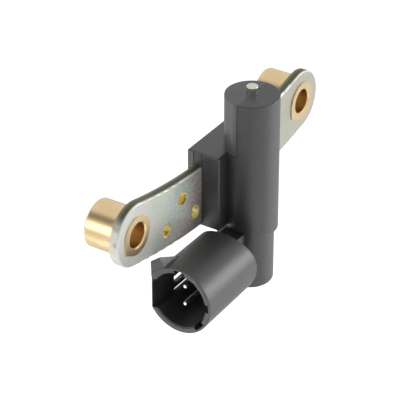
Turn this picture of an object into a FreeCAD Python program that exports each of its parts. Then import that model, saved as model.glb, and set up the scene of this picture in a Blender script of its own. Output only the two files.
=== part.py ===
import FreeCAD, Part
import math
import os

# Crankshaft position sensor on a curved two-hole bracket, millimetres.
# X runs along the bracket, Y runs away from the pole side towards the engine,
# Z runs up to the pole tip. The origin lies midway between the two bush bores,
# in the plane of the bush ends that seat on the engine.

os.makedirs("parts", exist_ok=True)
doc = FreeCAD.newDocument("sensor")
sheet = doc.addObject("Spreadsheet::Sheet", "Sizes")

SIZES = [
    ("hole_pitch", 100.0, "distance between the two bush bores"),
    ("bracket_radius", 221.0, "centre-line radius of the curved bracket"),
    ("arm_half_width", 10.7, "half width of the bracket, also its end radius"),
    ("plate_gauge", 3.0, "bracket sheet thickness"),
    ("plate_edge_round", 0.55, "rounding of the punched outline"),
    ("bush_barrel_length", 11.5, "bush behind the bracket"),
    ("bush_barrel_radius", 8.0, "outer radius of the bush barrel"),
    ("bush_spigot_radius", 6.7, "radius of the bush inside the bracket"),
    ("bush_spigot_stand", 0.5, "spigot ring in front of the bracket"),
    ("bush_bore_radius", 4.2, "fixing bolt clearance bore"),
    ("bush_bore_chamfer", 0.4, "lead-in of the bore"),
    ("bush_edge_round", 0.6, "rounding of the bush end"),
    ("key_corner_angle", 212.0, "direction of the blunt corner of the bush spigot in degrees"),
    ("key_corner_length", 2.7, "length of the block that keeps only that corner"),
    ("key_corner_half_width", 4.0, "half width of that block"),
    ("small_hole_radius", 2.15, "three small holes of the left arm"),
    ("small_hole_round", 0.35, "bevelled rim of the small holes"),
    ("upper_hole_across", -24.0, "upper small hole along the bracket"),
    ("upper_hole_up", -0.35, "upper small hole above the bush line"),
    ("inner_hole_across", -16.6, "small hole beside the block"),
    ("inner_hole_up", -9.1, "height of that hole"),
    ("outer_hole_across", -33.2, "small hole beside the bush"),
    ("outer_hole_up", -7.4, "height of that hole"),
    ("body_offset", 25.25, "seat plane to body axis"),
    ("nose_radius", 9.0, "body cylinder"),
    ("nose_top", 29.5, "top face of the body"),
    ("nose_edge_round", 0.4, "rounding of the top face"),
    ("parting_step", 0.15, "step at the mould parting line"),
    ("parting_front", 1.0, "mould parting line in front of the body axis"),
    ("body_bottom", -18.9, "underside of the body cylinder"),
    ("body_under_slope", 14.0, "rise of that underside towards the connector in degrees"),
    ("block_half_width", 12.75, "half width of the block around the bracket"),
    ("block_front_cover", 6.5, "block in front of the bracket"),
    ("block_rear_cover", 2.45, "block behind the bracket"),
    ("block_top", 10.5, "top of the block"),
    ("block_height", 27.0, "height of the block"),
    ("block_edge_round", 0.5, "rounding of the block edges"),
    ("witness_depth", 0.12, "mould insert witness above the bracket"),
    ("neck_radius", 7.75, "lower cylinder"),
    ("neck_bottom", -39.4, "underside of the lower cylinder"),
    ("neck_back_reach", 8.0, "straight rear part of the lower cylinder"),
    ("neck_overlap", 0.6, "lower cylinder inside the body"),
    ("neck_edge_round", 1.3, "rounding of the lower edge"),
    ("socket_height", -24.5, "connector axis level"),
    ("socket_mouth", 43.2, "body axis to connector mouth"),
    ("socket_rear", 14.1, "body axis to connector rear end"),
    ("socket_mouth_radius", 11.7, "connector outer radius at the mouth"),
    ("socket_draft", 0.3, "how much narrower the connector is at its rear rim"),
    ("rear_end_radius", 21.5, "curve of the rear end, seen from the side"),
    ("socket_rim_round", 0.3, "rounding of the connector mouth"),
    ("socket_rear_round", 0.7, "rounding of the connector rear rim"),
    ("socket_wall", 2.1, "connector wall at the mouth"),
    ("flat_wall", 0.5, "least wall between the cavity and the flat rear side"),
    ("cavity_draft", 0.2, "how much narrower the cavity is at its floor"),
    ("socket_depth", 22.7, "connector cavity depth"),
    ("socket_lead_in", 0.45, "bevel of the cavity mouth"),
    ("keyway_wall", 0.7, "wall outside the keyways"),
    ("keyway_length", 19.0, "length of the keyways"),
    ("top_keyway_angle", 81.0, "start of the top keyway in degrees from the rear side"),
    ("top_keyway_span", 20.0, "width of the top keyway in degrees"),
    ("front_keyway_angle", 168.5, "start of the front keyway"),
    ("front_keyway_span", 16.0, "width of the front keyway"),
    ("lower_keyway_angle", 211.0, "start of the lower keyway"),
    ("lower_keyway_span", 23.0, "width of the lower keyway"),
    ("pocket_wall", 0.65, "wall behind the latch pocket"),
    ("pocket_low", 5.7, "axis down to the lower side of the pocket"),
    ("pocket_high", 5.0, "axis up to the upper side of the pocket"),
    ("lip_gauge", 0.3, "rear lip at the mouth, where the pocket floor runs out"),
    ("lip_length", 4.0, "length of that run-out"),
    ("lip_high", 4.0, "axis up to the upper end of that run-out"),
    ("slot_start", 12.0, "connector mouth to the latch slots"),
    ("slot_length", 10.0, "length of the latch slots"),
    ("slot_depth", 1.45, "latch slots on each side of the pocket floor"),
    ("upper_slot_floor", -2.95, "axis to the lower side of the upper slot"),
    ("upper_slot_height", 2.0, "height of the upper slot"),
    ("lower_slot_floor", -6.2, "axis to the lower side of the lower slot"),
    ("lower_slot_height", 0.65, "height of the lower slot"),
    ("catch_stand", 0.85, "latch catch above the pocket floor"),
    ("catch_height", 0.95, "height of the catch under the upper slot"),
    ("catch_start", 12.6, "connector mouth to the catch"),
    ("catch_length", 3.6, "length of the catch"),
    ("web_front", 2.25, "front of the web between connector and lower cylinder"),
    ("web_back", 5.0, "back of the web"),
    ("web_rise", 6.3, "top of the web above the connector axis"),
    ("web_height", 14.8, "height of the web"),
    ("web_overlap", 2.5, "web end inside the barrel"),
    ("ramp_height", 15.0, "connector axis to the ramp ridge"),
    ("ramp_length", 10.5, "length of the ramp"),
    ("ramp_width", 4.2, "width of the ramp at its ridge"),
    ("ramp_foot_low", 4.6, "ramp foot towards the flat side, from the middle of the ramp"),
    ("ramp_angle", 52.0, "direction of the ramp in degrees from the rear side"),
    ("ramp_front", 0.9, "mouth to the ridge of the ramp"),
    ("ramp_crest", 0.2, "flat top of the ramp"),
    ("ramp_root", 1.2, "ramp foot inside the barrel wall"),
    ("pole_radius", 1.9, "pole piece"),
    ("pole_stand", 2.9, "pole piece above the body"),
    ("pole_tip_round", 0.25, "rounding of the pole tip"),
    ("pole_head_radius", 4.2, "pole piece head on the magnet"),
    ("pole_head_height", 1.5, "thickness of that head"),
    ("tube_wall", 1.0, "wall of the bobbin tube"),
    ("bobbin_cover", 1.8, "body wall around the bobbin flanges"),
    ("bobbin_flange_height", 1.2, "thickness of a bobbin flange"),
    ("bobbin_top_cover", 2.0, "body wall above the bobbin"),
    ("winding_length", 21.6, "length of the winding"),
    ("flange_lip", 0.6, "bobbin flange outside the winding"),
    ("tape_gauge", 0.2, "thickness of the winding tape"),
    ("cup_wall", 0.8, "wall of the magnet cup"),
    ("cup_floor", 1.0, "closed end of the magnet cup"),
    ("magnet_height", 8.0, "length of the magnet"),
    ("disc_height", 1.5, "thickness of the back iron disc"),
    ("lead_radius", 0.25, "coil lead wire"),
    ("leg_gap", 0.25, "solder joint to the magnet cup"),
    ("lead_gap", 2.0, "lower bobbin flange to the upper end of a terminal leg"),
    ("leg_radius", 0.5, "terminal leg"),
    ("solder_radius", 0.85, "solder joint"),
    ("solder_height", 0.9, "height of a solder joint"),
    ("solder_tip_radius", 0.47, "upper radius of a solder joint"),
    ("pin_radius", 0.75, "connector pin"),
    ("pin_half_pitch", 3.25, "half of the pin pitch"),
    ("pin_recess", 3.6, "connector mouth to pin tips"),
    ("pin_shoulder", 0.3, "cavity floor to the end of the full pin"),
    ("pin_tip_round", 0.5, "rounding of a pin tip"),
]
for row, (alias, value, meaning) in enumerate(SIZES, start=1):
    sheet.set("A%d" % row, meaning)
    sheet.set("B%d" % row, str(value))
    sheet.setAlias("B%d" % row, alias)
doc.recompute()

ALONG_Z = FreeCAD.Rotation()
ALONG_X = FreeCAD.Rotation(FreeCAD.Vector(1, 1, 1), 120)
MINUS_Y = FreeCAD.Rotation(FreeCAD.Vector(1, 0, 0), 90)


SOCKET_BORE = "(socket_mouth_radius-socket_wall)"
SOCKET_FLAT = "(socket_mouth_radius-socket_wall+flat_wall)"
POCKET_FLOOR = "(socket_mouth_radius-socket_wall+flat_wall-pocket_wall)"
TUBE_RADIUS = "(pole_radius+tube_wall)"
FLANGE_RADIUS = "(nose_radius-bobbin_cover)"
WINDING_RADIUS = "(nose_radius-bobbin_cover-flange_lip)"
CUP_RADIUS = "(pole_head_radius+cup_wall)"
LEG_REACH = "(pole_head_radius+cup_wall+leg_gap+solder_radius)"
PIN_ROOT = "(socket_mouth-socket_depth+pin_shoulder)"


def size(alias):
    return float(sheet.get(alias))


def bind(item, prop, text):
    """Bind one property to a formula; names of sizes are written plain."""
    words = []
    word = ""
    for letter in text + " ":
        if letter.isalnum() or letter == "_":
            word += letter
            continue
        known = any(word == entry[0] for entry in SIZES)
        words.append("Sizes." + word if known else word)
        words.append(letter)
        word = ""
    item.setExpression(prop, "".join(words).strip())


def place(item, spot, turn):
    item.Placement = FreeCAD.Placement(FreeCAD.Vector(0, 0, 0), turn)
    for axis, text in zip("xyz", spot):
        bind(item, ".Placement.Base." + axis, text)


def rod(name, radius, height, spot, turn=ALONG_Z, sector=None):
    item = doc.addObject("Part::Cylinder", name)
    bind(item, "Radius", radius)
    bind(item, "Height", height)
    if sector is not None:
        bind(item, "Angle", sector)
    place(item, spot, turn)
    return item


def taper(name, start, end, height, spot, turn=ALONG_Z):
    item = doc.addObject("Part::Cone", name)
    bind(item, "Radius1", start)
    bind(item, "Radius2", end)
    bind(item, "Height", height)
    place(item, spot, turn)
    return item


def brick(name, extent, spot, turn=ALONG_Z):
    item = doc.addObject("Part::Box", name)
    for prop, text in zip(("Length", "Width", "Height"), extent):
        bind(item, prop, text)
    place(item, spot, turn)
    return item


def join(name, items):
    item = doc.addObject("Part::MultiFuse", name)
    item.Shapes = items
    item.Refine = True
    doc.recompute()
    return item


def cut(name, base, tool):
    item = doc.addObject("Part::Cut", name)
    item.Base = base
    item.Tool = tool
    item.Refine = True
    doc.recompute()
    return item


def shared(name, base, tool):
    item = doc.addObject("Part::Common", name)
    item.Base = base
    item.Tool = tool
    doc.recompute()
    return item


def rounded(name, base, amount, wanted):
    """Round the edges of base that the test picks."""
    doc.recompute()
    picked = [n for n, edge in enumerate(base.Shape.Edges, start=1) if wanted(edge)]
    if not picked:
        raise RuntimeError("no edge to round for " + name)
    item = doc.addObject("Part::Fillet", name)
    item.Base = base
    item.Edges = [(n, amount, amount) for n in picked]
    doc.recompute()
    return item


def node(item, name):
    item.Label = name
    return item


def flat_at(axis, level):
    """Test for an edge lying wholly at one level of one axis."""
    def test(edge):
        spots = edge.discretize(Number=7)
        return all(abs(getattr(spot, axis) - level) < 1e-4 for spot in spots)
    return test


# Curved bracket: an arc band with round ends, drawn flat and stood upright.
def keyed_spigot(name, height, level, side):
    """Round spigot whose outline runs out to one blunt corner."""
    centre = side + "*hole_pitch/2"
    turn = FreeCAD.Rotation(FreeCAD.Vector(0, 0, 1), size("key_corner_angle"))
    six_sided = doc.addObject("Part::Prism", name + "_six_sided")
    six_sided.Polygon = 6
    bind(six_sided, "Circumradius", "bush_spigot_radius/cos(30)")
    bind(six_sided, "Height", height)
    place(six_sided, (centre, "0", level), turn)
    inner_side = "bush_spigot_radius*cos(30)"
    corner_spot = (
        centre + "+" + inner_side + "*cos(key_corner_angle)+key_corner_half_width*sin(key_corner_angle)",
        inner_side + "*sin(key_corner_angle)-key_corner_half_width*cos(key_corner_angle)",
        level,
    )
    window_size = ("key_corner_length", "2*key_corner_half_width", height)
    window = brick(name + "_window", window_size, corner_spot, turn)
    corner = shared(name + "_corner", six_sided, window)
    disc = rod(name + "_disc", "bush_spigot_radius", height, (centre, "0", level))
    return join(name, [disc, corner])


arc_level = "sqrt(bracket_radius^2-(hole_pitch/2)^2)"
arc_sector = "2*asin(hole_pitch/2/bracket_radius)"
outer_arc = "bracket_radius+arm_half_width"
inner_arc = "bracket_radius-arm_half_width"
band_outer = rod("band_outer", outer_arc, "plate_gauge", ("0", arc_level, "0"), sector=arc_sector)
bind(band_outer, ".Placement.Rotation.Angle", "270 deg-asin(hole_pitch/2/bracket_radius)")
band_inner = rod("band_inner", inner_arc, "plate_gauge", ("0", arc_level, "0"))
band = cut("band", band_outer, band_inner)
left_end = rod("left_end", "arm_half_width", "plate_gauge", ("-hole_pitch/2", "0", "0"))
right_end = rod("right_end", "arm_half_width", "plate_gauge", ("hole_pitch/2", "0", "0"))
blank = join("plate_blank", [band, left_end, right_end])
front_face = flat_at("z", size("plate_gauge"))
blank_round = rounded("plate_blank_round", blank, size("plate_edge_round"), front_face)
openings = []
for name in ("upper_hole", "inner_hole", "outer_hole"):
    spot = (name + "_across", name + "_up")
    openings.append(rod(name, "small_hole_radius", "plate_gauge", spot + ("0",)))
    openings.append(taper(name + "_rim", "small_hole_radius", "small_hole_radius+small_hole_round",
                          "small_hole_round", spot + ("plate_gauge-small_hole_round",)))
openings.append(keyed_spigot("left_opening", "plate_gauge", "0", "-1"))
openings.append(keyed_spigot("right_opening", "plate_gauge", "0", "1"))
plate_holes = join("plate_holes", openings)
bracket_plate = cut("bracket_plate", blank_round, plate_holes)
place(bracket_plate, ("0", "-bush_barrel_length", "0"), MINUS_Y)
node(bracket_plate, "bracket_plate")


# Turned bushes: barrel behind the bracket, keyed spigot through it.
def bush(name, side):
    spot = (side + "*hole_pitch/2", "0", "0")
    barrel = rod(name + "_barrel", "bush_barrel_radius", "bush_barrel_length", spot)
    barrel_round = rounded(name + "_barrel_round", barrel, size("bush_edge_round"), flat_at("z", 0.0))
    spigot = keyed_spigot(name + "_spigot", "plate_gauge+bush_spigot_stand", "bush_barrel_length", side)
    solid = join(name + "_solid", [barrel_round, spigot])
    length = "bush_barrel_length+plate_gauge+bush_spigot_stand"
    bore = rod(name + "_bore", "bush_bore_radius", length, spot)
    front_level = length + "-bush_bore_chamfer"
    front = taper(name + "_front_bevel", "bush_bore_radius", "bush_bore_radius+bush_bore_chamfer",
                  "bush_bore_chamfer", (spot[0], "0", front_level))
    back = taper(name + "_back_bevel", "bush_bore_radius+bush_bore_chamfer", "bush_bore_radius",
                 "bush_bore_chamfer", spot)
    hollow = join(name + "_hollow", [bore, front, back])
    item = cut(name, solid, hollow)
    place(item, ("0", "0", "0"), MINUS_Y)
    return node(item, name)


left_bush = bush("left_bush", "-1")
right_bush = bush("right_bush", "1")

# Sensing core on the body axis, from the pole tip down to the back iron.
AXIS = ("0", "-body_offset")
bobbin_top = "nose_top-bobbin_top_cover"
winding_top = bobbin_top + "-bobbin_flange_height"
winding_bottom = winding_top + "-winding_length"
bobbin_seat = winding_bottom + "-bobbin_flange_height"
magnet_top = bobbin_seat + "-pole_head_height"
magnet_bottom = magnet_top + "-magnet_height"
disc_bottom = magnet_bottom + "-disc_height"
cup_bottom = disc_bottom + "-cup_floor"
leg_top = "(" + bobbin_seat + "-lead_gap)"

pole_length = "nose_top+pole_stand-(" + bobbin_seat + ")"
pole_shank = rod("pole_shank", "pole_radius", pole_length, AXIS + (bobbin_seat,))
tip_face = flat_at("z", size("nose_top") + size("pole_stand"))
pole_tip = rounded("pole_tip", pole_shank, size("pole_tip_round"), tip_face)
pole_head = rod("pole_head", "pole_head_radius", "pole_head_height", AXIS + (magnet_top,))
pole_piece = node(join("pole_piece", [pole_tip, pole_head]), "pole_piece")

magnet = node(rod("magnet", "pole_head_radius", "magnet_height", AXIS + (magnet_bottom,)), "magnet")
disc = rod("back_iron_disc", "pole_head_radius", "disc_height", AXIS + (disc_bottom,))
back_iron_disc = node(disc, "back_iron_disc")

upper_flange = rod("upper_flange", FLANGE_RADIUS, "bobbin_flange_height", AXIS + (winding_top,))
lower_flange = rod("lower_flange", FLANGE_RADIUS, "bobbin_flange_height", AXIS + (bobbin_seat,))
bobbin_tube = rod("bobbin_tube", TUBE_RADIUS, "winding_length", AXIS + (winding_bottom,))
magnet_cup = rod("magnet_cup", CUP_RADIUS, bobbin_seat + "-(" + cup_bottom + ")", AXIS + (cup_bottom,))
bobbin_solid = join("bobbin_solid", [upper_flange, lower_flange, bobbin_tube, magnet_cup])
bobbin_bore = rod("bobbin_bore", "pole_radius", bobbin_top + "-(" + bobbin_seat + ")", AXIS + (bobbin_seat,))
cup_bore = rod("cup_bore", "pole_head_radius", bobbin_seat + "-(" + disc_bottom + ")", AXIS + (disc_bottom,))
lead_slots = [
    rod(name, "lead_radius", "bobbin_flange_height", (reach, AXIS[1], bobbin_seat))
    for name, reach in (("left_lead_slot", "-" + LEG_REACH), ("right_lead_slot", LEG_REACH))
]
bobbin_hollow = join("bobbin_hollow", [bobbin_bore, cup_bore] + lead_slots)
coil_bobbin = node(cut("coil_bobbin", bobbin_solid, bobbin_hollow), "coil_bobbin")


def sleeve(name, inner, outer):
    outside = rod(name + "_outside", outer, "winding_length", AXIS + (winding_bottom,))
    inside = rod(name + "_inside", inner, "winding_length", AXIS + (winding_bottom,))
    return node(cut(name, outside, inside), name)


coil_winding = sleeve("coil_winding", TUBE_RADIUS, WINDING_RADIUS)
winding_tape = sleeve("winding_tape", WINDING_RADIUS, WINDING_RADIUS + "+tape_gauge")


# Two terminals: a leg beside the magnet cup, a bend and a round connector pin.
def terminal(name, reach, level):
    leg = rod(name + "_leg", "leg_radius", leg_top + "-(" + level + ")", (reach, AXIS[1], level))
    knee = doc.addObject("Part::Sphere", name + "_knee")
    bind(knee, "Radius", "leg_radius")
    place(knee, (reach, AXIS[1], level), ALONG_Z)
    run = rod(name + "_run", "leg_radius", PIN_ROOT + "+" + reach, ("-" + PIN_ROOT, AXIS[1], level), ALONG_X)
    tip_x = "-socket_mouth+pin_recess"
    pin_length = "socket_mouth-pin_recess-" + PIN_ROOT
    pin = rod(name + "_pin", "pin_radius", pin_length, (tip_x, AXIS[1], level), ALONG_X)
    tip_test = flat_at("x", size("pin_recess") - size("socket_mouth"))
    pin_round = rounded(name + "_pin_round", pin, size("pin_tip_round"), tip_test)
    return node(join(name, [leg, knee, run, pin_round]), name)


upper_terminal = terminal("upper_terminal", "-" + LEG_REACH, "socket_height+pin_half_pitch")
lower_terminal = terminal("lower_terminal", LEG_REACH, "socket_height-pin_half_pitch")


def solder(name, reach):
    spot = (reach, AXIS[1], leg_top)
    bead = taper(name + "_bead", "solder_radius", "solder_tip_radius", "solder_height", spot)
    hole = rod(name + "_hole", "lead_radius", "solder_height", spot)
    return node(cut(name, bead, hole), name)


upper_solder = solder("upper_solder", "-" + LEG_REACH)
lower_solder = solder("lower_solder", LEG_REACH)


def lead(name, reach):
    item = rod(name, "lead_radius", winding_bottom + "-" + leg_top, (reach, AXIS[1], leg_top))
    return node(item, name)


start_lead = lead("start_lead", "-" + LEG_REACH)
finish_lead = lead("finish_lead", LEG_REACH)

# Outer moulding: body cylinder, block, lower cylinder and connector barrel.
nose = rod("nose", "nose_radius", "nose_top-body_bottom", AXIS + ("body_bottom",))
nose_round = rounded("nose_round", nose, size("nose_edge_round"), flat_at("z", size("nose_top")))
relief_height = "nose_top-body_bottom+parting_step"
relief_spot = AXIS + ("body_bottom",)
relief_outer = rod("relief_outer", "nose_radius+parting_step", relief_height, relief_spot)
relief_inner = rod("relief_inner", "nose_radius-parting_step", relief_height, relief_spot)
relief_ring = cut("relief_ring", relief_outer, relief_inner)
rear_extent = ("2*nose_radius+2*parting_step", "nose_radius+parting_front+parting_step", relief_height)
rear_half = brick("rear_half", rear_extent,
                  ("-nose_radius-parting_step", "-body_offset-parting_front", "body_bottom"))
relief = shared("relief", relief_ring, rear_half)
waste = "4*socket_mouth_radius"
slope_turn = FreeCAD.Rotation(FreeCAD.Vector(0, 1, 0), size("body_under_slope"))
under_waste = brick("under_waste", (waste, waste, waste), (
    "-" + waste + "*(cos(body_under_slope)+sin(body_under_slope))",
    "-body_offset-" + waste + "/2",
    "body_bottom-" + waste + "*(cos(body_under_slope)-sin(body_under_slope))",
), slope_turn)
nose_parted = cut("nose_parted", nose_round, join("nose_waste", [relief, under_waste]))

block_depth = "block_front_cover+plate_gauge+block_rear_cover"
block_front = "-bush_barrel_length-plate_gauge-block_front_cover"
block = brick("block", ("2*block_half_width", block_depth, "block_height"),
              ("-block_half_width", block_front, "block_top-block_height"))
block_round = rounded("block_round", block, size("block_edge_round"), lambda edge: True)
grooves = [
    brick(name, ("witness_depth", "plate_gauge", "block_top"),
          (start, "-bush_barrel_length-plate_gauge", "0"))
    for name, start in (("left_witness", "-block_half_width"),
                        ("right_witness", "block_half_width-witness_depth"))
]
block_grooved = cut("block_grooved", block_round, join("witness_grooves", grooves))

neck_height = "body_bottom+nose_radius*tan(body_under_slope)+neck_overlap-neck_bottom"
neck_front = rod("neck_front", "neck_radius", neck_height, AXIS + ("neck_bottom",))
neck_rear = brick("neck_rear", ("2*neck_radius", "neck_back_reach", neck_height),
                  ("-neck_radius", "-body_offset", "neck_bottom"))
neck = join("neck", [neck_front, neck_rear])
neck_round = rounded("neck_round", neck, size("neck_edge_round"), flat_at("z", size("neck_bottom")))

# Connector barrel, trimmed flat on its rear side and curved at its rear end.
MOUTH = ("-socket_mouth", "-body_offset", "socket_height")
run_on = "socket_mouth-socket_rear+socket_rear_round"
barrel_end = "socket_mouth_radius-socket_draft*(" + run_on + ")/(socket_mouth-socket_rear)"
barrel = taper("barrel", "socket_mouth_radius", barrel_end, run_on, MOUTH, ALONG_X)
rear_limit = rod("rear_limit", "rear_end_radius", waste, (
    "-socket_rear-rear_end_radius", "-body_offset+" + waste + "/2", "socket_height"), MINUS_Y)
barrel_ended = shared("barrel_ended", barrel, rear_limit)
flat_waste = brick("flat_waste", (waste, waste, waste), (
    "-socket_mouth-socket_mouth_radius/2",
    SOCKET_FLAT + "-body_offset",
    "socket_height-" + waste + "/2",
))
barrel_trim = cut("barrel_trim", barrel_ended, flat_waste)
mouth_face = flat_at("x", -size("socket_mouth"))
barrel_rim = rounded("barrel_rim", barrel_trim, size("socket_rim_round"), mouth_face)


def on_rear_end(edge):
    """Test for the edges of the curved rear end."""
    reach = size("rear_end_radius")
    for spot in edge.discretize(Number=7):
        across = spot.x + size("socket_rear") + reach
        if abs(math.hypot(across, spot.z - size("socket_height")) - reach) > 1e-3:
            return False
    return True


barrel_done = rounded("barrel_done", barrel_rim, size("socket_rear_round"), on_rear_end)


def wedge(name, length, top, low, high, foot_sides, top_sides):
    """Block along X with a foot and a top of their own length and sides, at two heights."""
    item = doc.addObject("Part::Wedge", name)
    for prop, text in (("Xmin", "0"), ("Xmax", length), ("X2min", top[0]), ("X2max", top[1]),
                       ("Ymin", low), ("Ymax", high),
                       ("Zmin", foot_sides[0]), ("Zmax", foot_sides[1]),
                       ("Z2min", top_sides[0]), ("Z2max", top_sides[1])):
        bind(item, prop, text)
    return item


ramp = wedge("ramp", "ramp_length", ("ramp_front", "ramp_front+ramp_crest"),
             "socket_mouth_radius-ramp_root", "ramp_height",
             ("-ramp_foot_low", "ramp_width/2"), ("-ramp_width/2", "ramp_width/2"))
place(ramp, MOUTH, FreeCAD.Rotation(FreeCAD.Vector(1, 0, 0), size("ramp_angle")))

web = brick("web", ("socket_rear+web_overlap", "web_front+web_back", "web_height"),
            ("-socket_rear-web_overlap", "-body_offset-web_front", "socket_height+web_rise-web_height"))

outer = join("moulding_outer", [nose_parted, block_grooved, neck_round, barrel_done, ramp, web])

# Hollow of the connector: tapered bore, keyways, latch pocket and latch slots.
cavity = taper("cavity", SOCKET_BORE, SOCKET_BORE + "-cavity_draft", "socket_depth", MOUTH, ALONG_X)
cavity_lead = taper("cavity_lead", SOCKET_BORE + "+socket_lead_in", SOCKET_BORE,
                    "socket_lead_in", MOUTH, ALONG_X)
hollows = [cavity, cavity_lead]
for name in ("top_keyway", "front_keyway", "lower_keyway"):
    turn = ALONG_X * FreeCAD.Rotation(FreeCAD.Vector(0, 0, 1), size(name + "_angle"))
    hollows.append(rod(name, "socket_mouth_radius-keyway_wall", "keyway_length", MOUTH, turn,
                       sector=name + "_span"))
inside = SOCKET_BORE + "/2"
pocket_extent = ("keyway_length", POCKET_FLOOR + "-" + inside, "pocket_low+pocket_high")
hollows.append(brick("latch_pocket", pocket_extent,
                     ("-socket_mouth", inside + "-body_offset", "socket_height-pocket_low")))
run_out = wedge("lip_run_out", "lip_length", ("0", "lip_gauge"), POCKET_FLOOR, SOCKET_FLAT + "-lip_gauge",
                ("-pocket_low", "lip_high"), ("-pocket_low", "lip_high"))
place(run_out, MOUTH, ALONG_Z)
hollows.append(run_out)
for name in ("upper_slot", "lower_slot"):
    hollows.append(brick(name, ("slot_length", "2*slot_depth", name + "_height"),
                         ("-socket_mouth+slot_start", POCKET_FLOOR + "-slot_depth-body_offset",
                          "socket_height+" + name + "_floor")))
socket_hollow = join("socket_hollow", hollows)
moulding_open = cut("moulding_open", outer, socket_hollow)
catch = brick("latch_catch", ("catch_length", "catch_stand+lip_gauge", "catch_height"),
              ("-socket_mouth+catch_start", POCKET_FLOOR + "-catch_stand-body_offset",
               "socket_height+upper_slot_floor-catch_height"))
moulding_hollow = join("moulding_hollow", [moulding_open, catch])
inner_pieces = [bracket_plate, pole_piece, coil_bobbin, coil_winding, winding_tape, magnet, back_iron_disc,
                upper_terminal, lower_terminal, upper_solder, lower_solder, start_lead, finish_lead]
insert_space = join("insert_space", inner_pieces)
housing = node(cut("housing", moulding_hollow, insert_space), "housing")

NODES = [housing, bracket_plate, left_bush, right_bush, pole_piece, magnet, back_iron_disc, coil_bobbin,
         coil_winding, winding_tape, upper_terminal, lower_terminal, upper_solder, lower_solder,
         start_lead, finish_lead]

doc.recompute()
for item in doc.Objects:
    if "Invalid" in item.State or "Error" in item.State:
        raise RuntimeError("object %s did not build: %s" % (item.Label, item.State))
for item in NODES:
    shape = item.Shape
    if shape.isNull() or not shape.isValid() or shape.Volume <= 0:
        raise RuntimeError("shape of %s is not sound" % item.Label)
    shape.exportStep("parts/%s.step" % item.Label)
    print(item.Label, len(shape.Solids), round(shape.Volume, 3), len(shape.Faces))
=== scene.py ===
"""Crankshaft position sensor on a curved bracket, dressed for a studio picture.

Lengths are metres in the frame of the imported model: X along the bracket, Y towards
the engine, Z up to the pole tip. The origin lies midway between the bush bores.
Colours are linear, and a mask runs from 0 to 1.
"""

import math

import bpy
import numpy as np
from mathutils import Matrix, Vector


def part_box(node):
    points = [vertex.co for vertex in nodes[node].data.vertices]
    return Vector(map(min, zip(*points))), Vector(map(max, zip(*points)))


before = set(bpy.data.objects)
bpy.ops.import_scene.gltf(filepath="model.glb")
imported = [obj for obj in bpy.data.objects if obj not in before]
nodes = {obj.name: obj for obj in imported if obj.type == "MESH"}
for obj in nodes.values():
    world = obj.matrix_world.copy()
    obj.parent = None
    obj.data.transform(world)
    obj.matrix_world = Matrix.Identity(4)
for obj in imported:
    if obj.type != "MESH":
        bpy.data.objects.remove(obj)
bpy.context.view_layer.update()

MM = 0.001

# Places on the part that the finishes refer to
LEFT_LOW, LEFT_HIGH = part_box("left_bush")
RIGHT_LOW, RIGHT_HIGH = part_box("right_bush")
POLE_LOW, POLE_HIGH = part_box("pole_piece")
HOUSING_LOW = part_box("housing")[0]
PLATE_LOW, PLATE_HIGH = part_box("bracket_plate")
BODY_AXIS_Y = (POLE_LOW.y + POLE_HIGH.y) / 2
LEFT_BORE = ((LEFT_LOW.x + LEFT_HIGH.x) / 2, 0.0, 0.0)
RIGHT_BORE = ((RIGHT_LOW.x + RIGHT_HIGH.x) / 2, 0.0, 0.0)
BODY_AXIS = (0.0, BODY_AXIS_Y, 0.0)
MOULD_LINE_Y = BODY_AXIS_Y + 0.15 * MM
BLOCK_TOP = 10.5 * MM
NOSE_HALF_WIDTH = 9.4 * MM
SMALL_HOLES = (
    (-24.0 * MM, -0.35 * MM),
    (-16.6 * MM, -9.1 * MM),
    (-33.2 * MM, -7.4 * MM),
)
SMALL_HOLE_REACH = 2.53 * MM


def direction(azimuth, elevation):
    """Unit vector from the object towards a viewer at that azimuth and elevation, in degrees."""
    a = math.radians(azimuth)
    e = math.radians(elevation)
    return Vector((math.sin(a) * math.cos(e), -math.cos(a) * math.cos(e), math.sin(e)))


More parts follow.
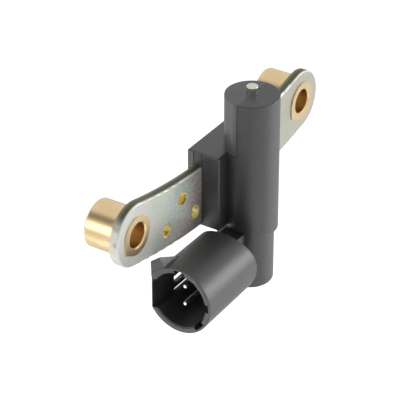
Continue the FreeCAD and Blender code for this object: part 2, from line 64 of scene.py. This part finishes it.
# Node helpers
class Tree:
    """A node tree with short calls for adding and joining nodes."""

    def __init__(self, tree):
        self.tree = tree

    def node(self, kind, **values):
        """Add a node and set its properties."""
        made = self.tree.nodes.new(kind)
        for name, value in values.items():
            setattr(made, name, value)
        return made

    def join(self, start, end):
        """Join an output to an input."""
        self.tree.links.new(start, end)

    def feed(self, socket, value):
        """Set a socket to a number or colour, or join it to another socket."""
        if isinstance(value, bpy.types.NodeSocket):
            self.join(value, socket)
        else:
            socket.default_value = value

    def math(self, operation, *values):
        """Result of one operation on numbers."""
        made = self.node("ShaderNodeMath", operation=operation)
        for socket, value in zip(made.inputs, values):
            self.feed(socket, value)
        return made.outputs[0]

    def vector(self, operation, first, second, output="Vector"):
        """Result of one operation on two vectors."""
        made = self.node("ShaderNodeVectorMath", operation=operation)
        self.feed(made.inputs[0], first)
        self.feed(made.inputs[1], second)
        return made.outputs[output]

    def split(self, vector):
        """X, Y and Z of a vector."""
        made = self.node("ShaderNodeSeparateXYZ")
        self.join(vector, made.inputs[0])
        return made.outputs["X"], made.outputs["Y"], made.outputs["Z"]

    def size(self, value):
        """Value without its sign."""
        return self.math("ABSOLUTE", value)

    def scaled(self, value, factor):
        """Value times a factor."""
        return self.math("MULTIPLY", value, factor)

    def both(self, *masks):
        """Where all the masks hold: their product."""
        result = masks[0]
        for mask in masks[1:]:
            result = self.math("MULTIPLY", result, mask)
        return result

    def either(self, *masks):
        """Where any of the masks holds: the largest."""
        result = masks[0]
        for mask in masks[1:]:
            result = self.math("MAXIMUM", result, mask)
        return result

    def fade(self, value, low, high, start=0.0, end=1.0):
        """Smooth step of value from low to high, giving start to end."""
        made = self.node("ShaderNodeMapRange", interpolation_type="SMOOTHSTEP")
        for socket, number in zip(made.inputs, (value, low, high, start, end)):
            self.feed(socket, number)
        return made.outputs[0]

    def line(self, value, place, core, reach):
        """Mask of a thin line where value is at place: full within core, none past reach."""
        away = self.size(self.math("SUBTRACT", value, place))
        return self.fade(away, core, reach, 1.0, 0.0)

    def blend(self, amount, first, second):
        """Colour between first and second by amount."""
        made = self.node("ShaderNodeMix", data_type="RGBA")
        self.feed(made.inputs["Factor"], amount)
        self.feed(made.inputs[6], first)
        self.feed(made.inputs[7], second)
        return made.outputs[2]

    def noise(self, where, scale, detail=3.0, roughness=0.5, distortion=0.0):
        """Soft noise at a vector, with scale in repeats per metre."""
        made = self.node("ShaderNodeTexNoise")
        self.feed(made.inputs["Vector"], where)
        self.feed(made.inputs["Scale"], scale)
        made.inputs["Detail"].default_value = detail
        made.inputs["Roughness"].default_value = roughness
        made.inputs["Distortion"].default_value = distortion
        return made.outputs["Fac"]

    def ramp(self, value, stops):
        """Colour band read at a value."""
        made = self.node("ShaderNodeValToRGB")
        self.feed(made.inputs["Fac"], value)
        band = made.color_ramp
        while len(band.elements) < len(stops):
            band.elements.new(0.5)
        for element, (place, colour) in zip(band.elements, stops):
            element.position = place
            element.color = (*colour, 1.0)
        return made.outputs["Color"]


def group(name, inputs, outputs):
    """Empty shader node group with number outputs; returns its tree, input and output nodes."""
    made = bpy.data.node_groups.new(name, "ShaderNodeTree")
    for label, kind in inputs:
        made.interface.new_socket(label, in_out="INPUT", socket_type=kind)
    for label in outputs:
        made.interface.new_socket(label, in_out="OUTPUT", socket_type="NodeSocketFloat")
    tree = Tree(made)
    return tree, tree.node("NodeGroupInput").outputs, tree.node("NodeGroupOutput").inputs


def grain_group():
    """Moulded or plated grain: fine bumps, wide blotches and sparse specks."""
    inputs = [("Place", "NodeSocketVector"), ("Fine", "NodeSocketFloat"), ("Wide", "NodeSocketFloat")]
    tree, given, result = group("grain", inputs, ["Height", "Blotch", "Specks"])
    tree.join(tree.noise(given["Place"], given["Fine"], detail=2.0), result["Height"])
    wide = tree.noise(given["Place"], given["Wide"], detail=4.0)
    tree.join(tree.fade(wide, 0.32, 0.68), result["Blotch"])
    cells = tree.node("ShaderNodeTexVoronoi")
    tree.join(given["Place"], cells.inputs["Vector"])
    tree.join(given["Fine"], cells.inputs["Scale"])
    tree.join(tree.fade(cells.outputs["Distance"], 0.10, 0.32, 1.0, 0.0), result["Specks"])
    return tree.tree


def turning_group():
    """Lathe marks round the Y axis of the given place: rings on faces, hoops on barrels.

    The marks are noise along one number, the radius plus the travel along the axis,
    counted in pitches.
    """
    inputs = [("Place", "NodeSocketVector"), ("Pitch", "NodeSocketFloat")]
    tree, given, result = group("turning_marks", inputs, ["Height", "Radius"])
    across, along, up = tree.split(given["Place"])
    squares = tree.math("ADD", tree.math("MULTIPLY", across, across), tree.math("MULTIPLY", up, up))
    radius = tree.math("SQRT", squares)
    wander = tree.node("ShaderNodeTexNoise", noise_dimensions="1D")
    tree.join(tree.math("DIVIDE", tree.math("ADD", radius, along), given["Pitch"]), wander.inputs["W"])
    wander.inputs["Scale"].default_value = 1.0
    wander.inputs["Detail"].default_value = 3.0
    tree.join(wander.outputs["Fac"], result["Height"])
    tree.join(radius, result["Radius"])
    return tree.tree


GRAIN = grain_group()
TURNING = turning_group()


def placed_group(tree, made, **values):
    """Place a node group, feed its inputs by name and return its outputs."""
    item = tree.node("ShaderNodeGroup", node_tree=made)
    for name, value in values.items():
        tree.feed(item.inputs[name], value)
    return item.outputs


def finish(name):
    """New material, with its tree, its Principled shader and its texture coordinates."""
    made = bpy.data.materials.new(name)
    made.use_nodes = True
    tree = Tree(made.node_tree)
    shader = made.node_tree.nodes["Principled BSDF"]
    spots = tree.node("ShaderNodeTexCoord").outputs
    return made, tree, shader, spots


def bump(tree, shader, height, depth, strength):
    """Raise the surface by a height mask, up to a depth."""
    item = tree.node("ShaderNodeBump")
    item.inputs["Strength"].default_value = strength
    item.inputs["Distance"].default_value = depth
    tree.join(height, item.inputs["Height"])
    tree.join(item.outputs["Normal"], shader.inputs["Normal"])


def centred(tree, spots, centre):
    """Object coordinates measured from a centre point."""
    return tree.vector("SUBTRACT", spots["Object"], centre)


# Moulded nylon
NYLON_DARK = (0.030, 0.029, 0.031, 1)
NYLON_LIGHT = (0.037, 0.036, 0.038, 1)
NYLON_SPECK = (0.10, 0.10, 0.10, 1)
# Painted highlight: paler nylon for the nose behind its mould line
NOSE_REAR_PAINTED_HIGHLIGHT = (0.085, 0.082, 0.085, 1)
# Painted highlight: paler nylon for the block's ends behind the bracket
BLOCK_REAR_PAINTED_HIGHLIGHT = (0.095, 0.090, 0.086, 1)
# Painted shade for the mould line, and the dark of the insert's witness lines
LINE_SHADE_AND_WITNESS_DARK = (0.004, 0.004, 0.004, 1)


def housing_plastic():
    """Glass-filled nylon, dark grey and satin; behind its mould line it is glossier and paler by a painted
    highlight, as is the block's rear, and the mould line's dark is painted shade.
    """
    made, tree, shader, spots = finish("housing_plastic")
    grain = placed_group(tree, GRAIN, Place=spots["Object"], Fine=2400.0, Wide=55.0)
    along, depth, up = tree.split(spots["Object"])
    facing_along, _, facing_up = tree.split(spots["Normal"])
    on_nose = tree.fade(tree.size(along), NOSE_HALF_WIDTH - 0.1 * MM, NOSE_HALF_WIDTH + 0.1 * MM, 1.0, 0.0)

    # The mould line runs up the nose just behind its axis, and along the nose's foot behind that; its dark
    # line is painted shade, where the mould step's shadow gap falls.
    behind_line = tree.fade(depth, MOULD_LINE_Y - 0.02 * MM, MOULD_LINE_Y + 0.04 * MM)
    above_block = tree.fade(up, BLOCK_TOP - 0.1 * MM, BLOCK_TOP + 0.1 * MM)
    upright = tree.both(tree.line(depth, MOULD_LINE_Y, 0.06 * MM, 0.22 * MM), above_block)
    level = tree.both(tree.line(up, BLOCK_TOP, 0.06 * MM, 0.22 * MM), behind_line)
    off_top_faces = tree.fade(tree.size(facing_up), 0.2, 0.5, 1.0, 0.0)
    mould_line_shade = tree.both(tree.either(upright, level), off_top_faces, on_nose)

    # Over the bracket, a mould insert leaves two lines on each end of the block.
    block_end = tree.both(
        tree.fade(tree.size(facing_along), 0.80, 0.95),
        tree.math("SUBTRACT", 1.0, on_nose),
        tree.fade(up, 0.0, 0.5 * MM),
    )
    insert_line = tree.either(
        tree.line(depth, PLATE_LOW.y, 0.05 * MM, 0.24 * MM),
        tree.line(depth, PLATE_HIGH.y, 0.05 * MM, 0.24 * MM),
    )
    behind_plate = tree.fade(depth, PLATE_HIGH.y - 0.1 * MM, PLATE_HIGH.y + 0.1 * MM)
    shade_and_witness_lines = tree.either(mould_line_shade, tree.both(insert_line, block_end))

    # Behind the mould line the nose is glossier, and its paler colour there is a painted highlight.
    rear_half_gloss_and_highlight = tree.both(behind_line, above_block)
    colour = tree.blend(grain["Blotch"], NYLON_DARK, NYLON_LIGHT)
    colour = tree.blend(tree.scaled(grain["Specks"], 0.45), colour, NYLON_SPECK)
    colour = tree.blend(rear_half_gloss_and_highlight, colour, NOSE_REAR_PAINTED_HIGHLIGHT)
    # Painted highlight: the block's ends behind the bracket are made paler.
    colour = tree.blend(tree.both(behind_plate, block_end), colour, BLOCK_REAR_PAINTED_HIGHLIGHT)
    tree.join(tree.blend(shade_and_witness_lines, colour, LINE_SHADE_AND_WITNESS_DARK), shader.inputs["Base Color"])
    rough = tree.math("ADD", 0.41, tree.scaled(grain["Blotch"], 0.04))
    rough = tree.math("SUBTRACT", rough, tree.scaled(rear_half_gloss_and_highlight, 0.05))
    tree.join(tree.math("ADD", rough, tree.scaled(shade_and_witness_lines, 0.5)), shader.inputs["Roughness"])
    shader.inputs["Specular IOR Level"].default_value = 0.9
    shader.inputs["Sheen Weight"].default_value = 0.15
    shader.inputs["Sheen Roughness"].default_value = 0.4
    bump(tree, shader, grain["Height"], 0.10 * MM, 0.8)
    return made


# Zinc plating
FILM_BAND = (
    (0.28, (0.58, 0.65, 0.65)),
    (0.38, (0.62, 0.69, 0.58)),
    (0.46, (0.69, 0.68, 0.65)),
    (0.54, (0.74, 0.63, 0.63)),
    (0.61, (0.57, 0.67, 0.60)),
    (0.72, (0.72, 0.66, 0.54)),
)
# Gold for the holes: its bright end is painted glints and its dark end painted shade
HOLE_GOLD_AND_GLINT_BAND = (
    (0.31, (0.34, 0.19, 0.05)),
    (0.40, (0.78, 0.48, 0.13)),
    (0.47, (0.94, 0.76, 0.20)),
    (0.55, (0.99, 0.95, 0.50)),
)
ZINC_SPECK = (0.30, 0.31, 0.27, 1)
ZINC_MOTTLE = (0.20, 0.20, 0.17, 1)
# Painted highlight for the plate's left end
ZINC_PAINTED_HIGHLIGHT = (0.84, 0.87, 0.84, 1)
# Painted shade for the plate's right arm
ZINC_PAINTED_SHADE = (0.42, 0.40, 0.31, 1)
# Painted highlight for the rounded edge of the plate's front face
RIM_PAINTED_HIGHLIGHT = (0.95, 0.96, 0.92, 1)
EDGE_CREAM = (0.88, 0.86, 0.76, 1)
OLIVE_DARK = (0.07, 0.07, 0.035, 1)
OLIVE_LIGHT = (0.16, 0.16, 0.09, 1)
OLIVE_BURNISHED = (0.34, 0.32, 0.21, 1)


def plated_face(tree, place, grain, along, flatness):
    """Rainbow film, mottled by the block, with a painted highlight at the left end and on the rounded
    front edge, and painted shade that dulls the right arm.
    """
    colour = tree.ramp(tree.noise(place, 42.0, detail=2.0, distortion=0.8), FILM_BAND)
    colour = tree.blend(tree.scaled(grain["Specks"], 0.5), colour, ZINC_SPECK)
    mottle = tree.fade(tree.noise(place, 900.0, detail=4.0, roughness=0.75), 0.42, 0.62)
    by_block = tree.fade(tree.size(along), 14.0 * MM, 38.0 * MM, 0.55, 0.12)
    colour = tree.blend(tree.both(mottle, by_block), colour, ZINC_MOTTLE)
    # Painted highlight at the bracket's left end.
    left_end_highlight = tree.fade(along, -58.0 * MM, -36.0 * MM, 0.6, 0.0)
    colour = tree.blend(left_end_highlight, colour, ZINC_PAINTED_HIGHLIGHT)
    # Painted shade on the right arm.
    right_arm_shade = tree.fade(along, 5.0 * MM, 30.0 * MM, 0.0, 0.62)
    colour = tree.blend(right_arm_shade, colour, ZINC_PAINTED_SHADE)
    # Painted highlight on the rounded edge round the front face.
    rim_highlight = tree.both(tree.fade(flatness, 0.4, 0.7), tree.fade(flatness, 0.93, 0.995, 0.9, 0.0))
    return tree.blend(rim_highlight, colour, RIM_PAINTED_HIGHLIGHT)


def sheared_edge(tree, place, grain, depth, facing_up):
    """Cream edge, with an olive band on top that is burnished behind, and stains beside it."""
    burnished = tree.fade(depth, PLATE_HIGH.y - 1.3 * MM, PLATE_HIGH.y - 0.4 * MM)
    olive = tree.blend(grain["Blotch"], OLIVE_DARK, OLIVE_LIGHT)
    olive = tree.blend(burnished, olive, OLIVE_BURNISHED)
    stain = tree.fade(tree.noise(place, 260.0, detail=2.0), 0.48, 0.72, 0.0, 0.8)
    stain = tree.both(stain, tree.fade(facing_up, -0.3, 0.3))
    upward = tree.fade(facing_up, 0.55, 0.88)
    behind_fillet = tree.fade(depth, PLATE_LOW.y + 0.25 * MM, PLATE_LOW.y + 0.7 * MM)
    return tree.blend(tree.both(tree.either(upward, stain), behind_fillet), EDGE_CREAM, olive)


def near_hole(tree, along, up, centre):
    """Mask of the ground round one small hole of the bracket."""
    across = tree.math("SUBTRACT", along, centre[0])
    rise = tree.math("SUBTRACT", up, centre[1])
    square = tree.math("ADD", tree.math("MULTIPLY", across, across), tree.math("MULTIPLY", rise, rise))
    return tree.math("LESS_THAN", square, SMALL_HOLE_REACH ** 2)


def zinc_plate():
    """Zinc plating with a thin rainbow film, olive on the sheared edge and gold in the holes, with painted
    glints and painted shade there.
    """
    made, tree, shader, spots = finish("zinc_plate")
    place = spots["Object"]
    grain = placed_group(tree, GRAIN, Place=place, Fine=1900.0, Wide=45.0)
    along, depth, up = tree.split(place)
    _, facing_depth, facing_up = tree.split(spots["Normal"])
    flatness = tree.size(facing_depth)
    wall = tree.fade(flatness, 0.35, 0.75, 1.0, 0.0)
    face = plated_face(tree, place, grain, along, flatness)
    edge = sheared_edge(tree, place, grain, depth, facing_up)
    hole_grounds = [near_hole(tree, along, up, centre) for centre in SMALL_HOLES]
    in_hole = tree.both(tree.either(*hole_grounds), tree.fade(flatness, 0.80, 0.95, 1.0, 0.0))
    # Gold in the holes, its dark and bright ends painted shade and painted glints.
    gold = tree.ramp(tree.noise(place, 420.0, detail=1.0, distortion=1.0), HOLE_GOLD_AND_GLINT_BAND)
    colour = tree.blend(in_hole, tree.blend(wall, face, edge), gold)
    tree.join(colour, shader.inputs["Base Color"])
    shader.inputs["Metallic"].default_value = 0.3
    rough = tree.math("ADD", 0.40, tree.scaled(grain["Blotch"], 0.06))
    tree.join(tree.math("ADD", rough, tree.scaled(wall, 0.08)), shader.inputs["Roughness"])
    bump(tree, shader, grain["Height"], 0.02 * MM, 0.6)
    return made


# Turned and plain metals
BRASS_DARK = (0.80, 0.60, 0.33, 1)
BRASS_LIGHT = (0.85, 0.67, 0.41, 1)
BRASS_END = (0.60, 0.46, 0.27, 1)
BRASS_BORE = (0.68, 0.48, 0.24, 1)
POLE_DARK = (0.60, 0.59, 0.49, 1)
POLE_LIGHT = (0.78, 0.76, 0.64, 1)
# Painted shade in the gaps between the wire's turns
WIRE_GAP_SHADE = (0.30, 0.10, 0.04, 1)
WIRE_CROWN = (0.78, 0.36, 0.16, 1)
WIRE_WIDTH = 0.12 * MM


def bush_brass(name, centre):
    """Turned brass: gold satin with lathe marks, browner on its end faces and in the bore."""
    made, tree, shader, spots = finish(name)
    place = centred(tree, spots, centre)
    marks = placed_group(tree, TURNING, Place=place, Pitch=0.10 * MM)
    grain = placed_group(tree, GRAIN, Place=place, Fine=2400.0, Wide=90.0)
    facing_depth = tree.split(spots["Normal"])[1]
    end_face = tree.fade(tree.size(facing_depth), 0.80, 0.95)
    bore = tree.fade(marks["Radius"], 4.15 * MM, 4.35 * MM, 1.0, 0.0)
    colour = tree.blend(grain["Blotch"], BRASS_DARK, BRASS_LIGHT)
    colour = tree.blend(end_face, colour, BRASS_END)
    tree.join(tree.blend(bore, colour, BRASS_BORE), shader.inputs["Base Color"])
    shader.inputs["Metallic"].default_value = 1.0
    satin = tree.math("ADD", marks["Height"], tree.scaled(grain["Height"], 2.0))
    tree.join(tree.fade(satin, 1.0, 2.0, 0.28, 0.36), shader.inputs["Roughness"])
    bump(tree, shader, satin, 0.006 * MM, 0.4)
    return made


def pole_steel():
    """Bright turned bar, its marks round the body's axis."""
    made, tree, shader, spots = finish("pole_steel")
    turned = tree.node("ShaderNodeMapping")
    turned.inputs["Rotation"].default_value = (math.radians(90), 0, 0)
    tree.join(centred(tree, spots, BODY_AXIS), turned.inputs["Vector"])
    marks = placed_group(tree, TURNING, Place=turned.outputs["Vector"], Pitch=0.15 * MM)
    tree.join(tree.blend(marks["Height"], POLE_DARK, POLE_LIGHT), shader.inputs["Base Color"])
    shader.inputs["Metallic"].default_value = 1.0
    tree.join(tree.fade(marks["Height"], 0.2, 0.8, 0.16, 0.28), shader.inputs["Roughness"])
    bump(tree, shader, marks["Height"], 0.01 * MM, 0.5)
    return made


def grained(name, dark, light, metallic, roughness):
    """Plain grained finish of two near colours, for the terminals and the hidden core."""
    made, tree, shader, spots = finish(name)
    grain = placed_group(tree, GRAIN, Place=spots["Object"], Fine=3000.0, Wide=150.0)
    tree.join(tree.blend(grain["Blotch"], (*dark, 1), (*light, 1)), shader.inputs["Base Color"])
    shader.inputs["Metallic"].default_value = metallic
    tree.join(tree.fade(grain["Height"], 0.3, 0.7, roughness, roughness + 0.1), shader.inputs["Roughness"])
    bump(tree, shader, grain["Height"], 0.01 * MM, 0.5)
    return made


def wound_copper():
    """Coil of fine wire: hoops round the body's axis, one wire wide, as the size of a sine, with painted
    shade in the gaps between turns.
    """
    made, tree, shader, spots = finish("coil_copper")
    up = tree.split(spots["Object"])[2]
    # The sine's troughs take painted shade between the turns.
    height = tree.size(tree.math("SINE", tree.scaled(up, 2 * math.pi / WIRE_WIDTH)))
    tree.join(tree.blend(height, WIRE_GAP_SHADE, WIRE_CROWN), shader.inputs["Base Color"])
    shader.inputs["Metallic"].default_value = 1.0
    tree.join(tree.fade(height, 0.0, 1.0, 0.5, 0.25), shader.inputs["Roughness"])
    bump(tree, shader, height, 0.03 * MM, 0.8)
    return made


# Finishes of the pieces
pin_metal = grained("terminal_metal", (0.80, 0.74, 0.58), (0.87, 0.83, 0.72), 1.0, 0.22)
solder_metal = grained("solder", (0.62, 0.63, 0.64), (0.74, 0.75, 0.76), 1.0, 0.28)
lead_copper = grained("lead_copper", (0.66, 0.28, 0.12), (0.78, 0.38, 0.18), 1.0, 0.3)
PIECE_FINISHES = {
    "housing": housing_plastic(),
    "bracket_plate": zinc_plate(),
    "left_bush": bush_brass("left_bush_brass", LEFT_BORE),
    "right_bush": bush_brass("right_bush_brass", RIGHT_BORE),
    "pole_piece": pole_steel(),
    "magnet": grained("magnet_metal", (0.30, 0.30, 0.31), (0.42, 0.42, 0.43), 1.0, 0.35),
    "back_iron_disc": grained("back_iron", (0.45, 0.45, 0.43), (0.58, 0.58, 0.56), 1.0, 0.32),
    "coil_bobbin": grained("bobbin_plastic", (0.70, 0.67, 0.60), (0.78, 0.75, 0.68), 0.0, 0.5),
    "coil_winding": wound_copper(),
    "winding_tape": grained("coil_tape", (0.66, 0.44, 0.08), (0.78, 0.54, 0.14), 0.0, 0.2),
    "upper_terminal": pin_metal,
    "lower_terminal": pin_metal,
    "upper_solder": solder_metal,
    "lower_solder": solder_metal,
    "start_lead": lead_copper,
    "finish_lead": lead_copper,
}
for name, material in PIECE_FINISHES.items():
    for slot in nodes[name].material_slots:
        slot.material = material

# Floor
FLOOR_HALF = 4.0
FLOOR_DROP = 100.0 * MM
FLOOR_DARK = (0.86, 0.86, 0.86, 1)
FLOOR_LIGHT = (0.88, 0.88, 0.88, 1)
FLOOR_IN_PICTURE = 0.80
FLOOR_IN_METAL = 0.36


def flat_sheet(name, half, level):
    """Square sheet: corners at plus and minus half along X and Y, at one level."""
    u, v = np.meshgrid(np.linspace(-half, half, 2), np.linspace(-half, half, 2))
    points = np.stack([u.ravel(), v.ravel(), np.full(u.size, level)], axis=1)
    mesh = bpy.data.meshes.new(name)
    mesh.from_pydata(points.tolist(), [], [(0, 1, 3, 2)])
    item = bpy.data.objects.new(name, mesh)
    bpy.context.scene.collection.objects.link(item)
    return item


def floor_white():
    """Matte white floor, brighter to the camera and in reflections, so only the shadow shows."""
    made, tree, shader, spots = finish("floor_white")
    cloud = tree.noise(spots["Object"], 6.0)
    tree.join(tree.blend(cloud, FLOOR_DARK, FLOOR_LIGHT), shader.inputs["Base Color"])
    shader.inputs["Roughness"].default_value = 0.9
    rays = tree.node("ShaderNodeLightPath").outputs
    glow = tree.node("ShaderNodeEmission")
    mirrored = tree.scaled(rays["Is Glossy Ray"], FLOOR_IN_METAL)
    seen = tree.scaled(rays["Is Camera Ray"], FLOOR_IN_PICTURE)
    tree.join(tree.math("ADD", mirrored, seen), glow.inputs["Strength"])
    total = tree.node("ShaderNodeAddShader")
    tree.join(shader.outputs[0], total.inputs[0])
    tree.join(glow.outputs[0], total.inputs[1])
    output = made.node_tree.nodes["Material Output"]
    tree.join(total.outputs[0], output.inputs["Surface"])
    return made


floor = flat_sheet("floor", FLOOR_HALF, HOUSING_LOW.z - FLOOR_DROP)
floor.data.materials.append(floor_white())

# Lamps
LAMP_TARGET = Vector((-0.01, -0.015, -0.005))
BOX_DISTANCE = 0.50


def area_lamp(name, energy):
    """Area lamp linked to the scene; returns its object."""
    lamp = bpy.data.lights.new(name, "AREA")
    lamp.energy = energy
    item = bpy.data.objects.new(name, lamp)
    bpy.context.scene.collection.objects.link(item)
    return item


def soft_box(name, azimuth, elevation, width, height, radiance):
    """Rectangular lamp that faces the object; its power is radiance times pi times its area."""
    item = area_lamp(name, radiance * math.pi * width * height)
    item.data.shape = "RECTANGLE"
    item.data.size = width
    item.data.size_y = height
    towards = direction(azimuth, elevation)
    item.location = LAMP_TARGET + towards * BOX_DISTANCE
    item.rotation_euler = towards.to_track_quat("Z", "Y").to_euler()


def floor_wash(name, spot, side, energy):
    """Square lamp below the object that shines straight down on the floor."""
    item = area_lamp(name, energy)
    item.data.size = side
    item.location = spot


soft_box("right_box", azimuth=42.0, elevation=7.0, width=0.20, height=0.18, radiance=9.0)
soft_box("left_box", azimuth=-120.0, elevation=9.0, width=0.16, height=0.22, radiance=2.6)
floor_wash("left_wash", (-0.19, 0.02, -0.10), side=0.08, energy=0.13)
floor_wash("rear_wash", (-0.15, 0.25, -0.10), side=0.10, energy=0.16)
floor_wash("front_wash", (-0.15, -0.23, -0.05), side=0.14, energy=0.18)
floor_wash("right_wash", (0.12, -0.26, -0.05), side=0.16, energy=0.22)

# Room, with a dark flag that the brass and the plate reflect
ROOM_GREY = (0.32, 0.32, 0.322, 1)
ROOM_IN_METAL = (0.87, 0.87, 0.88, 1)
ROOM_IN_PICTURE = (1, 1, 1, 1)
FLAG_GREY = (0.06, 0.06, 0.06, 1)
FLAG_DIRECTION = direction(-133.0, 45.5)
FLAG_EDGE = 0.945
FLAG_CORE = 0.98


def studio_world():
    """Grey room for light, paler in reflections and white to the camera."""
    world = bpy.data.worlds.new("studio")
    world.use_nodes = True
    world.node_tree.nodes.clear()
    tree = Tree(world.node_tree)
    rays = tree.node("ShaderNodeLightPath").outputs
    where = tree.node("ShaderNodeTexCoord").outputs["Generated"]
    nearness = tree.vector("DOT_PRODUCT", where, tuple(FLAG_DIRECTION), output="Value")
    room = tree.blend(rays["Is Glossy Ray"], ROOM_GREY, ROOM_IN_METAL)
    room = tree.blend(tree.fade(nearness, FLAG_EDGE, FLAG_CORE), room, FLAG_GREY)
    light = tree.node("ShaderNodeBackground")
    tree.join(tree.blend(rays["Is Camera Ray"], room, ROOM_IN_PICTURE), light.inputs["Color"])
    tree.join(light.outputs[0], tree.node("ShaderNodeOutputWorld").inputs["Surface"])
    return world


bpy.context.scene.world = studio_world()

# Camera of the photograph
CAMERA_SPOT = (-0.5308, -0.3438, 0.3742)
CAMERA_AZIMUTH = -57.51
CAMERA_ELEVATION = 31.825
CAMERA_LENS = 202.4
CAMERA_FILM = 36.0

film = bpy.data.cameras.new("photo_camera")
film.lens = CAMERA_LENS
film.sensor_width = CAMERA_FILM
film.sensor_fit = "HORIZONTAL"
camera = bpy.data.objects.new("photo_camera", film)
camera.location = CAMERA_SPOT
back = direction(CAMERA_AZIMUTH, CAMERA_ELEVATION)
camera.rotation_euler = (-back).to_track_quat("-Z", "Y").to_euler()
bpy.context.scene.collection.objects.link(camera)
bpy.context.scene.camera = camera
bpy.context.scene.view_settings.view_transform = "Standard"

# Bring the scene up to date
bpy.context.view_layer.update()
